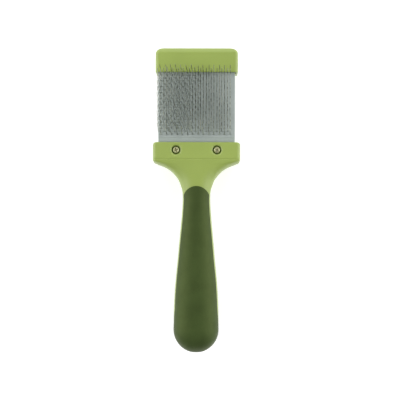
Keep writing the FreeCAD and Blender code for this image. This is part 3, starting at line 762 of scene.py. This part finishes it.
def cap_places():
    """The places of the sections along the cap."""
    lip = [CAP_LOW + step for step in early_steps(CAP_LIP, CAP_LIP_STEPS)]
    corner = CAP_END - CAP_CORNER
    crease = CAP_END - CAP_BEVEL[0]
    flat = spread(CAP_LOW + CAP_LIP, corner, CAP_STEPS)[1:]
    top = [corner + step for step in late_steps(CAP_CORNER, CAP_CORNER_STEPS)[1:]]
    places = [place for place in lip + flat + top if abs(place - crease) > CAP_CREASE_HALF]
    rim = [CAP_END - CAP_RIM * (1 - math.sin(math.radians(a))) for a in spread(0, 75, 4)]
    return sorted(places + rim + [crease - CAP_CREASE_HALF, crease + CAP_CREASE_HALF])


# ---------------------------------------------------------------- lime mouldings


def mouth_tools(axis, mouth, sign, side):
    """Room for the leaves' ends: a tall mouth for the pads, and a channel behind it."""
    wide = MOUTH_HALF_WIDTH
    mouth_ends = sorted((mouth - MOUTH_LENGTH * sign, mouth + OVERCUT * sign))
    channel_ends = sorted((axis - CHANNEL_BACK * sign, mouth))
    tools = []
    for ends, height in ((mouth_ends, MOUTH_HALF_HEIGHT), (channel_ends, CHANNEL_HALF_HEIGHT)):
        low, high = sorted((-OVERCUT * side, height * side))
        tools.append(box_tool((-wide, ends[0], low), (wide, ends[1], high)))
    return tools


def screw_way_tool(x):
    """The front shell's screw hole, with its counterbore and the bevel around that."""
    radius, corner = COUNTERBORE_RADIUS, COUNTERBORE_FLOOR_ROUND
    above = COLLAR_HALF_DEPTH + OVERCUT
    profile = [(0, -OVERCUT), (SCREW_WAY_RADIUS, -OVERCUT), (SCREW_WAY_RADIUS, SCREW_SEAT)]
    floor = SCREW_SEAT - COUNTERBORE_GROOVE
    profile += [(SCREW_HEAD_RADIUS, SCREW_SEAT), (SCREW_HEAD_RADIUS, floor)]
    profile += arc_points((radius - corner, floor + corner), corner, -90, 0, 4)
    profile += [(radius, COLLAR_HALF_DEPTH - COUNTERBORE_BEVEL), (COUNTERBORE_RIM, COLLAR_HALF_DEPTH)]
    profile += [(COUNTERBORE_RIM, above), (0, above)]
    return turned("screw_way_tool", profile, (x, SCREW_PLACE), 64)


def thread_tool(x):
    """The back shell's hole for a screw."""
    profile = [(0, SCREW_TIP), (THREAD_HOLE_RADIUS, SCREW_TIP), (THREAD_HOLE_RADIUS, OVERCUT), (0, OVERCUT)]
    return turned("thread_tool", profile, (x, SCREW_PLACE), 32)


def keyway_tool():
    """Room for the spacer between the leaves' far ends."""
    high = TIP_AXIS + CHANNEL_BACK
    low = high - SPACER_LENGTH - PARTING_GAP
    return box_tool((-KEY_HALF_WIDTH, low, -KEY_HALF_HEIGHT), (KEY_HALF_WIDTH, high, KEY_HALF_HEIGHT))


def cheek(sign, side):
    """The small tab under one side of the cap."""
    inner = MOUTH_HALF_WIDTH - CHEEK_WIDTH / 4
    ridge = MOUTH_HALF_WIDTH + CHEEK_WIDTH / 4
    outer = MOUTH_HALF_WIDTH + CHEEK_WIDTH
    foot = CAP_LOW - CHEEK_LENGTH
    root = CAP_LOW + CHEEK_ROOT
    outline = [(inner, root), (inner, foot), (ridge, foot), (outer, CAP_LOW), (outer, root)]
    depths = (PARTING_GAP, CHEEK_HALF_DEPTH)
    points = [(x * sign, place, z * side) for z in depths for x, place in outline]
    count = len(outline)
    faces = [tuple(range(count)), tuple(reversed(range(count, 2 * count)))]
    faces += [(i, (i + 1) % count, (i + 1) % count + count, i + count) for i in range(count)]
    return new_object("cheek", points, faces)


def make_mouldings():
    """The handle's two shells and the cap's, each as a half that meets the other at a fine groove."""
    screw_xs = (-SCREW_HALF_SPACING, SCREW_HALF_SPACING)
    for name, side in (("front", 1), ("back", -1)):
        rows = [half_section(place, shell_size(place), side) for place in shell_places()]
        shell = half_shell(f"{name}_shell_moulding", rows)
        bore = screw_way_tool if side > 0 else thread_tool
        cut(shell, *mouth_tools(ROOT_AXIS, COLLAR_TOP, 1, side), *[bore(x) for x in screw_xs])
        soften(shell, SOFT_EDGE, lambda x, place, z: abs(z) > SOFT_CLEAR and place > COLLAR_TOP - NEAR)
        dress(shell, "lime_plastic", "handle", f"{name}_shell")

        rows = [half_section(place, cap_size(place), side) for place in cap_places()]
        cap = half_shell(f"cap_{name}_moulding", rows)
        combine(cap, "UNION", *[cheek(sign, side) for sign in (-1, 1)])
        cut(cap, *mouth_tools(TIP_AXIS, CAP_LOW, -1, side), keyway_tool())
        soften(cap, SOFT_EDGE, lambda x, place, z: abs(z) > SOFT_CLEAR and place < CAP_LOW + NEAR)
        dress(cap, "lime_plastic", "cap", f"cap_{name}_shell")


# ---------------------------------------------------------------- grips


def face_point(x, place):
    """The point of the handle's front face above a given x."""
    width, depth, power, _, _ = shell_size(place)
    share = min(0.9999, abs(x) / width)
    return Vector((x, place, depth * (1 - share**power) ** (1 / power)))


def surface_point(place, angle):
    """The point of the handle's surface at an angle about its middle, from +X towards +Z, in degrees."""
    width, depth, power, _, _ = shell_size(place)
    c, s = math.cos(math.radians(angle)), math.sin(math.radians(angle))
    reach = (abs(c) ** power + s**power) ** (-1 / power)
    return Vector((width * reach * c, place, depth * reach * s))


def seam_height(place):
    """How far above the middle plane the grip's lower edge runs at a place."""
    for (low, low_height), (high, high_height) in zip(SEAM, SEAM[1:]):
        if place <= high:
            return mix(low_height, high_height, (place - low) / (high - low))
    return SEAM[-1][1]


def seam_angle(place):
    """The angle at which the grip's lower edge lies on the side strip."""
    return turning_point(0.0, 90.0, lambda angle: surface_point(place, angle).z < seam_height(place))


def arch_point(angle):
    """A point (x, place) on the arch at the grip's top; 0 degrees is at its right, 90 at its top."""
    a = math.radians(angle)
    return (ARCH_HALF_WIDTH * math.cos(a), ARCH_CENTRE + (ARCH_TOP - ARCH_CENTRE) * math.sin(a))


def arch_start():
    """The angle at which the arch leaves the side strip's edge."""

    def beyond_seam(angle):
        x, place = arch_point(angle)
        return x > surface_point(place, seam_angle(place)).x

    return turning_point(0.0, 80.0, beyond_seam)


def grip_rows():
    """Rows of surface points over the front grip, from the butt to the top of its arch."""
    start = arch_start()
    junction = arch_point(start)[1]
    rows = []
    for place in early_steps(DOME_LENGTH, DOME_STEPS) + spread(DOME_LENGTH, junction, GRIP_ROWS)[1:]:
        low = seam_angle(place)
        rows.append([surface_point(place, angle) for angle in spread(low, 180 - low, GRIP_COLUMNS)])
    butt = rows[0]
    rows.insert(0, [Vector((point.x * 0.5, 0, mix(seam_height(0), point.z, 0.5))) for point in butt])

    # above the junction the rows bend up into the arch
    middle = (start + 90) / 2
    bottom = [(point.x, point.y) for point in rows[-1]]
    top = [arch_point(mix(middle, 180 - middle, i / GRIP_COLUMNS)) for i in range(GRIP_COLUMNS + 1)]
    for row in range(1, ARCH_ROWS + 1):
        v = row / ARCH_ROWS
        right = arch_point(mix(start, middle, v))
        left = (-right[0], right[1])
        line = []
        for i in range(GRIP_COLUMNS + 1):
            u = i / GRIP_COLUMNS
            flat = []
            for k in (0, 1):
                across = mix(right[k], left[k], u)
                upward = mix(bottom[i][k], top[i][k], v)
                corners = mix(mix(bottom[0][k], bottom[-1][k], u), mix(top[0][k], top[-1][k], u), v)
                flat.append(across + upward - corners)
            line.append(face_point(*flat))
        rows.append(line)
    return rows


def make_grips():
    """The two soft grips, each a skin with thickness, let into its shell."""
    rows = grip_rows()
    columns = len(rows[0])
    for name, side in (("front", 1), ("back", -1)):
        points = [(p.x, p.y, p.z * side) for row in rows for p in row]
        grip = new_object(f"{name}_grip_skin", points, skin_faces(len(rows), columns))
        if grip.data.polygons[len(grip.data.polygons) // 2].normal.z * side < 0:
            grip.data.flip_normals()
        thick = grip.modifiers.new("thickness", "SOLIDIFY")
        thick.thickness = (GRIP_PROUD + GRIP_SUNK) * MM
        thick.offset = 2 * GRIP_PROUD / (GRIP_PROUD + GRIP_SUNK) - 1
        thick.use_even_offset = True
        edge = grip.modifiers.new("edge", "BEVEL")
        edge.width = GRIP_EDGE * MM
        edge.segments = 3
        edge.limit_method = "ANGLE"
        edge.angle_limit = math.radians(GRIP_EDGE_ANGLE)
        apply_modifiers(grip)
        # the skin stands proud at the butt too, and is held to the brush's length there
        for vert in grip.data.vertices:
            vert.co.y = max(vert.co.y, BUTT * MM)
        dress(grip, "green_grip", "handle", f"{name}_grip")


# ---------------------------------------------------------------- screws


def recess_tools(centre, turn, top):
    """The two tapered slots of a cross recess."""
    foot_reach, foot_half = RECESS_FOOT
    tools = []
    for quarter_turn in (0, 90):
        a = math.radians(turn + quarter_turn)
        points = []
        for z, reach, half in (
            (top - RECESS_DEPTH, RECESS_REACH * foot_reach, RECESS_HALF_SLOT * foot_half),
            (top + RECESS_OVERCUT, RECESS_REACH, RECESS_HALF_SLOT),
        ):
            for along, across in ((-reach, -half), (reach, -half), (reach, half), (-reach, half)):
                x = centre[0] + along * math.cos(a) - across * math.sin(a)
                y = centre[1] + along * math.sin(a) + across * math.cos(a)
                points.append((x, y, z))
        faces = [(0, 1, 2, 3), (4, 5, 6, 7), (0, 1, 5, 4), (1, 2, 6, 5), (2, 3, 7, 6), (3, 0, 4, 7)]
        tools.append(new_object("recess_tool", points, faces))
    return tools


def make_screws():
    """The collar's two pan-head screws."""
    top = SCREW_SEAT + SCREW_HEAD_HEIGHT
    edge = SCREW_HEAD_EDGE
    shank = SCREW_SHANK_RADIUS
    shoulder = SCREW_HEAD_RADIUS - SCREW_HEAD_CHAMFER
    profile = [(0, SCREW_TIP), (SCREW_POINT_RADIUS, SCREW_TIP), (shank, SCREW_TIP + SCREW_POINT_LENGTH)]
    profile += [(shank, SCREW_SEAT), (shoulder, SCREW_SEAT)]
    profile += [(SCREW_HEAD_RADIUS, SCREW_SEAT + SCREW_HEAD_CHAMFER)]
    profile += arc_points((SCREW_HEAD_RADIUS - edge, top - edge), edge, 0, 86, 12)
    profile += [(SCREW_TOP_RADIUS, top), (0, top)]
    for name, sign in (("left", -1), ("right", 1)):
        centre = (SCREW_HALF_SPACING * sign, SCREW_PLACE)
        screw = turned(f"{name}_pan_head_screw", profile, centre, 64)
        cut(screw, *recess_tools(centre, RECESS_TURNS[name], top))
        dress(screw, "screw_steel", "handle", f"collar_screw_{name}")


# ---------------------------------------------------------------- leaves, pads and pins


def bow_centre():
    """Centre of a leaf's arc, as (place, z)."""
    half_span = (TIP_AXIS - ROOT_AXIS) / 2
    return (ROOT_AXIS + TIP_AXIS) / 2, AXIS_HEIGHT - math.sqrt(BOW_RADIUS**2 - half_span**2)


def on_bow(place, height):
    """(place, z) of a point this high above a leaf's middle layer."""
    centre_place, centre_z = bow_centre()
    radius = BOW_RADIUS + height
    lean = math.asin((place - centre_place) / BOW_RADIUS)
    return centre_place + radius * math.sin(lean), centre_z + radius * math.cos(lean)


def slab_rows(places, layers, half_width, edge, side, columns):
    """Closed rows around a bowed slab: layers gives its lower and upper face at a place."""
    rows = []
    for place in places:
        low, high = layers(place)
        radius = min(edge, (high - low) / 2.01)
        around = []
        for start, x_sign, z_sign in ((0, 1, 1), (90, -1, 1), (180, -1, -1), (270, 1, -1)):
            centre_x = (half_width - radius) * x_sign
            centre_h = high - radius if z_sign > 0 else low + radius
            arc = arc_points((centre_x, centre_h), radius, start, start + 90, 4)
            around += arc
            if start in (0, 180):
                around += [(x, arc[-1][1]) for x in spread(arc[-1][0], -centre_x, columns)[1:-1]]
        ring = []
        for x, height in around:
            along, z = on_bow(place, height)
            ring.append((x, along, z * side))
        rows.append(ring)
    return rows


def closed_tube(name, rows):
    """A closed solid through rows that are closed rings of points."""
    points = [point for row in rows for point in row]
    return new_object(name, points, tube_faces(len(rows), len(rows[0])))


def leg_spots(row):
    """The x of each wire leg of a row."""
    shift = STAPLE_SHIFT - STAGGER * (row % 2)
    spots = []
    for number in range(STAPLES):
        middle = shift + (number - (STAPLES - 1) / 2) * STAPLE_PITCH
        spots += [middle - STAPLE_HALF_SPAN, middle + STAPLE_HALF_SPAN]
    return spots


def row_place(row):
    """The place of a row of pins, at the leaf's middle layer."""
    return mix(FIRST_ROW, LAST_ROW, row / (ROWS - 1))


def make_pads():
    """The rubber pads, bowed with their leaves, with a step along the collar."""
    for name, side in (("front", 1), ("back", -1)):
        start = COLLAR_TOP - PAD_TUCK + PAD_END_GAP
        stop = CAP_LOW + PAD_TUCK - PAD_END_GAP
        low = LEAF_THICKNESS / 2 + PAD_LIFT

        def layers(place):
            step = smoothstep((place - PAD_STEP_PLACE) / PAD_STEP_LENGTH)
            top = LEAF_THICKNESS / 2 + PAD_THICKNESS - PAD_STEP_DEPTH * (1 - step)
            end = min(place - start, stop - place)
            return low, top - rounding(end, PAD_EDGE)

        ends = early_steps(PAD_EDGE, PAD_EDGE_STEPS)
        places = [start + end for end in ends] + spread(start + PAD_EDGE, stop - PAD_EDGE, PAD_ROWS)[1:-1]
        places += [stop - end for end in reversed(ends)]
        rows = slab_rows(places, layers, LEAF_HALF_WIDTH - PAD_INSET, PAD_EDGE, side, PAD_COLUMNS)
        pad = closed_tube(f"{name}_rubber_pad", rows)
        pucker(pad, side)
        dress(pad, "grey_rubber", f"{name}_head", f"{name}_pad")


def pucker(pad, side):
    """Presses the rubber in around every wire, deepest at the left and near the collar."""
    tree = KDTree(ROWS * STAPLES * 2)
    surface = LEAF_THICKNESS / 2 + PAD_THICKNESS
    index = 0
    for row in range(ROWS):
        place, z = on_bow(row_place(row), surface)
        for x in leg_spots(row):
            tree.insert(to_frame((x * side, place, z * side)), index)
            index += 1
    tree.balance()
    for vert in pad.data.vertices:
        _, _, distance = tree.find(vert.co)
        distance /= MM
        if distance < 2 * PUCKER_RADIUS:
            to_left = smoothstep(0.5 - vert.co.x * side / MM / PUCKER_FADE)
            to_collar = smoothstep((FIRST_ROW + PUCKER_FADE - vert.co.y / MM + BUTT) / PUCKER_FADE)
            depth = mix(*PUCKER_DEPTHS, max(to_left, PUCKER_LOW_SHARE * to_collar))
            vert.co.z -= side * MM * depth * math.exp(-((distance / PUCKER_RADIUS) ** 2))


def make_leaves():
    """The two thin spring leaves, with a round bead at each end."""
    for name, side in (("front", 1), ("back", -1)):
        reach = BEAD_RADIUS * BEAD_SHARE

        def layers(place):
            off = min(abs(place - ROOT_AXIS), abs(place - TIP_AXIS))
            bead = math.sqrt(max(0.0, BEAD_RADIUS**2 - off**2))
            half = max(LEAF_THICKNESS / 2, bead) if ROOT_AXIS < place < TIP_AXIS else bead
            return -half, half

        bead = [reach * math.sin(math.radians(a)) for a in spread(-90, 90, BEAD_STEPS)]
        places = [ROOT_AXIS + step for step in bead]
        places += spread(ROOT_AXIS + BEAD_ROOM, TIP_AXIS - BEAD_ROOM, LEAF_ROWS)
        places += [TIP_AXIS + step for step in bead]
        rows = slab_rows(places, layers, LEAF_HALF_WIDTH, LEAF_EDGE, side, LEAF_COLUMNS)
        leaf = closed_tube(f"{name}_spring_leaf", rows)
        wide, deep = LEAF_HOLE_RADIUS, HOLE_REACH
        profile = [(0, -deep), (wide, -deep), (wide, deep), (0, deep)]
        centres = [(SCREW_HALF_SPACING * sign, SCREW_PLACE) for sign in (-1, 1)]
        cut(leaf, *[turned("hole_tool", profile, centre) for centre in centres])
        dress(leaf, "leaf_plastic", f"{name}_head", f"{name}_leaf")


def rounded_path(corners, radii):
    """Points along straight runs joined by arcs."""
    path = [corners[0]]
    for before, corner, after, radius in zip(corners, corners[1:], corners[2:], radii):
        toward = (corner - before).normalized()
        onward = (after - corner).normalized()
        turn = toward.angle(onward)
        tangent = radius * math.tan(turn / 2)
        start = corner - toward * tangent
        middle = start + (onward - toward * toward.dot(onward)).normalized() * radius
        axis = toward.cross(onward).normalized()
        for a in spread(0, turn, ARC_STEPS):
            path.append(middle + Matrix.Rotation(a, 3, axis) @ (start - middle))
    path.append(corners[-1])
    return path


def wire_rings(path, radius):
    """Rings of points along a path, carried along it without twisting, and drawn in at both ends."""
    rings = []
    tip_length, tip_size = WIRE_TIP
    ahead = (path[1] - path[0]).normalized()
    across = ahead.orthogonal().normalized()
    stations = [(path[0], radius * tip_size)]
    stations += [(path[0] + ahead * radius * tip_length, radius)]
    stations += [(point, radius) for point in path[1:-1]]
    last = (path[-1] - path[-2]).normalized()
    stations += [(path[-1] - last * radius * tip_length, radius), (path[-1], radius * tip_size)]
    for i, (point, size) in enumerate(stations):
        before = stations[max(0, i - 1)][0]
        after = stations[min(len(stations) - 1, i + 1)][0]
        ahead = (after - before).normalized()
        across = (across - ahead * across.dot(ahead)).normalized()
        sideways = ahead.cross(across)
        rings.append(
            [
                point + (across * math.cos(a) + sideways * math.sin(a)) * size
                for a in (2 * math.pi * k / WIRE_SIDES for k in range(WIRE_SIDES))
            ]
        )
    return rings


def staple_path(bent, lean_side, scatter, chance):
    """The middle line of one staple, from tip to tip; the pad's face is at z 0."""
    half = STAPLE_HALF_SPAN
    crown_z = CROWN_COVER + WIRE_RADIUS - PAD_THICKNESS
    feet = [Vector((-half, 0, crown_z)), Vector((half, 0, crown_z))]

    def stray():
        return Vector((chance.gauss(0, scatter), chance.gauss(0, scatter), 0))

    if bent:
        knees = [Vector((x, 0, BENT_HEIGHT - LEAN_RISE)) for x in (-half, half)]
        lean = Vector((-lean_side, LEAN_REACH, LEAN_RISE))
        corners = [knees[0] + lean + stray(), knees[0], *feet, knees[1], knees[1] + lean + stray()]
        radii = [KNEE_RADIUS, CROWN_RADIUS, CROWN_RADIUS, KNEE_RADIUS]
    else:
        tips = [Vector((x, 0, STRAIGHT_HEIGHT)) + stray() * STRAIGHT_STRAY for x in (-half, half)]
        corners = [tips[0], *feet, tips[1]]
        radii = [CROWN_RADIUS, CROWN_RADIUS]
    return rounded_path(corners, radii)


def make_pins():
    """A piece for each row of staples, standing square to its bowed pad."""
    chance = random.Random(STRAY_SEED)
    surface = LEAF_THICKNESS / 2 + PAD_THICKNESS
    for name, bent, side in (("front", True, 1), ("back", False, -1)):
        for row in range(ROWS):
            place = row_place(row)
            foot_place, foot_z = on_bow(place, surface)
            lean = math.asin((place - bow_centre()[0]) / BOW_RADIUS)
            tilt = Matrix.Rotation(-lean, 3, "X")
            spots = leg_spots(row)
            # the rows near the collar stray most, and from half way up they all stray alike
            wildness = mix(LOW_ROW_STRAY, 1.0, min(1.0, 2 * row / (ROWS - 1)))
            points = []
            faces = []
            for left, right, lean_side, scatter in zip(spots[::2], spots[1::2], LEAN_SIDES, PIN_STRAYS):
                foot = Vector(((left + right) / 2, foot_place, foot_z))
                middle_line = staple_path(bent, lean_side, scatter * wildness, chance)
                rings = wire_rings([tilt @ point + foot for point in middle_line], WIRE_RADIUS)
                faces += tube_faces(len(rings), WIRE_SIDES, len(points))
                points += [(p.x * side, p.y, p.z * side) for ring in rings for p in ring]
            kind = "bent" if bent else "straight"
            pins = new_object(f"{name}_{kind}_wires_{row + 1:02d}", points, faces)
            dress(pins, "pin_steel", f"{name}_head", f"{name}_pins_row_{row + 1:02d}")


# ---------------------------------------------------------------- stage


def make_camera():
    """The camera over the front face, turned so that the brush's length runs up the view."""
    camera = bpy.data.objects.new("camera", bpy.data.cameras.new("camera"))
    bpy.context.scene.collection.objects.link(camera)
    camera.data.sensor_width = SENSOR
    camera.data.lens = SENSOR * CAMERA_HEIGHT / FRAME_WIDTH
    aim = Vector(CAMERA_AIM) * MM
    camera.location = aim + Vector((CAMERA_SIDE, 0, CAMERA_HEIGHT)) * MM
    back = (camera.location - aim).normalized()
    right = Vector((0, 1, 0)).cross(back).normalized()
    axes = Matrix((right, back.cross(right), back)).transposed()
    camera.rotation_mode = "QUATERNION"
    turn = Matrix.Rotation(math.radians(CAMERA_ROLL), 3, "Z")
    camera.rotation_quaternion = (turn @ axes).to_quaternion()
    camera.data.clip_start, camera.data.clip_end = CAMERA_CLIP
    bpy.context.scene.camera = camera


def make_softbox(side):
    """A broad soft light at one side, aimed at the brush's middle."""
    name = f"softbox_{'left' if side < 0 else 'right'}"
    light = bpy.data.lights.new(name, "AREA")
    light.shape = "RECTANGLE"
    light.size, light.size_y = SOFTBOX_SIZE
    light.energy = SOFTBOX_POWER
    item = bpy.data.objects.new(name, light)
    item.location = (SOFTBOX_SIDE * side, 0.0, SOFTBOX_HEIGHT)
    item.rotation_mode = "QUATERNION"
    item.rotation_quaternion = (-item.location).to_track_quat("-Z", "Y")
    bpy.context.scene.collection.objects.link(item)


def make_stage():
    """The floor under the lowest pins, the lights and the world."""
    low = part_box("back_pins_row_11")[0].z
    mesh = bpy.data.meshes.new("floor")
    reach = FLOOR_REACH
    corners = [(-reach, -reach, low), (reach, -reach, low), (reach, reach, low), (-reach, reach, low)]
    mesh.from_pydata(corners, [], [(0, 1, 2, 3)])
    mesh.materials.append(MATERIALS["pale_floor"])
    floor = bpy.data.objects.new("floor", mesh)
    bpy.context.scene.collection.objects.link(floor)

    for side in (-1, 1):
        make_softbox(side)
    make_world()
    bpy.context.scene.view_settings.view_transform = "Standard"


def make_world():
    """Soft studio light, dim overhead and beyond the butt, and bright elsewhere."""
    world = bpy.data.worlds.new("studio")
    world.use_nodes = True
    tree = world.node_tree
    background = tree.nodes["Background"]
    background.inputs["Color"].default_value = (1, 1, 1, 1)
    parts = tree.nodes.new("ShaderNodeSeparateXYZ")
    tree.links.new(tree.nodes.new("ShaderNodeTexCoord").outputs["Generated"], parts.inputs[0])

    def shade(socket, fade, at_low, at_high):
        ramp = tree.nodes.new("ShaderNodeMapRange")
        ramp.interpolation_type = "SMOOTHSTEP"
        tree.links.new(socket, ramp.inputs["Value"])
        for name, value in zip(("From Min", "From Max", "To Min", "To Max"), (*fade, at_low, at_high)):
            ramp.inputs[name].default_value = value
        return ramp.outputs[0]

    def calculate(operation, a, b):
        made = tree.nodes.new("ShaderNodeMath")
        made.operation = operation
        for socket, value in zip(made.inputs, (a, b)):
            if isinstance(value, bpy.types.NodeSocket):
                tree.links.new(value, socket)
            else:
                socket.default_value = value
        return made.outputs[0]

    overhead = shade(parts.outputs["Z"], WORLD_OVERHEAD_FADE, 1.0, WORLD_OVERHEAD)
    near_end = shade(parts.outputs["Y"], WORLD_NEAR_END_FADE, WORLD_NEAR_END, 1.0)
    strength = calculate("MULTIPLY", calculate("MULTIPLY", overhead, near_end), WORLD_LEVEL)
    tree.links.new(strength, background.inputs["Strength"])
    bpy.context.scene.world = world


# ---------------------------------------------------------------- CAD nodes that stay


def dress_cad_nodes():
    """The spacers' CAD shapes are right, and only take a better material."""
    for name in ("root_spacer", "tip_spacer"):
        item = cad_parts[name]
        for material_slot in item.material_slots:
            material_slot.material = MATERIALS["spacer_plastic"]


make_camera()
make_mouldings()
make_grips()
make_screws()
make_leaves()
make_pads()
make_pins()
dress_cad_nodes()
make_stage()
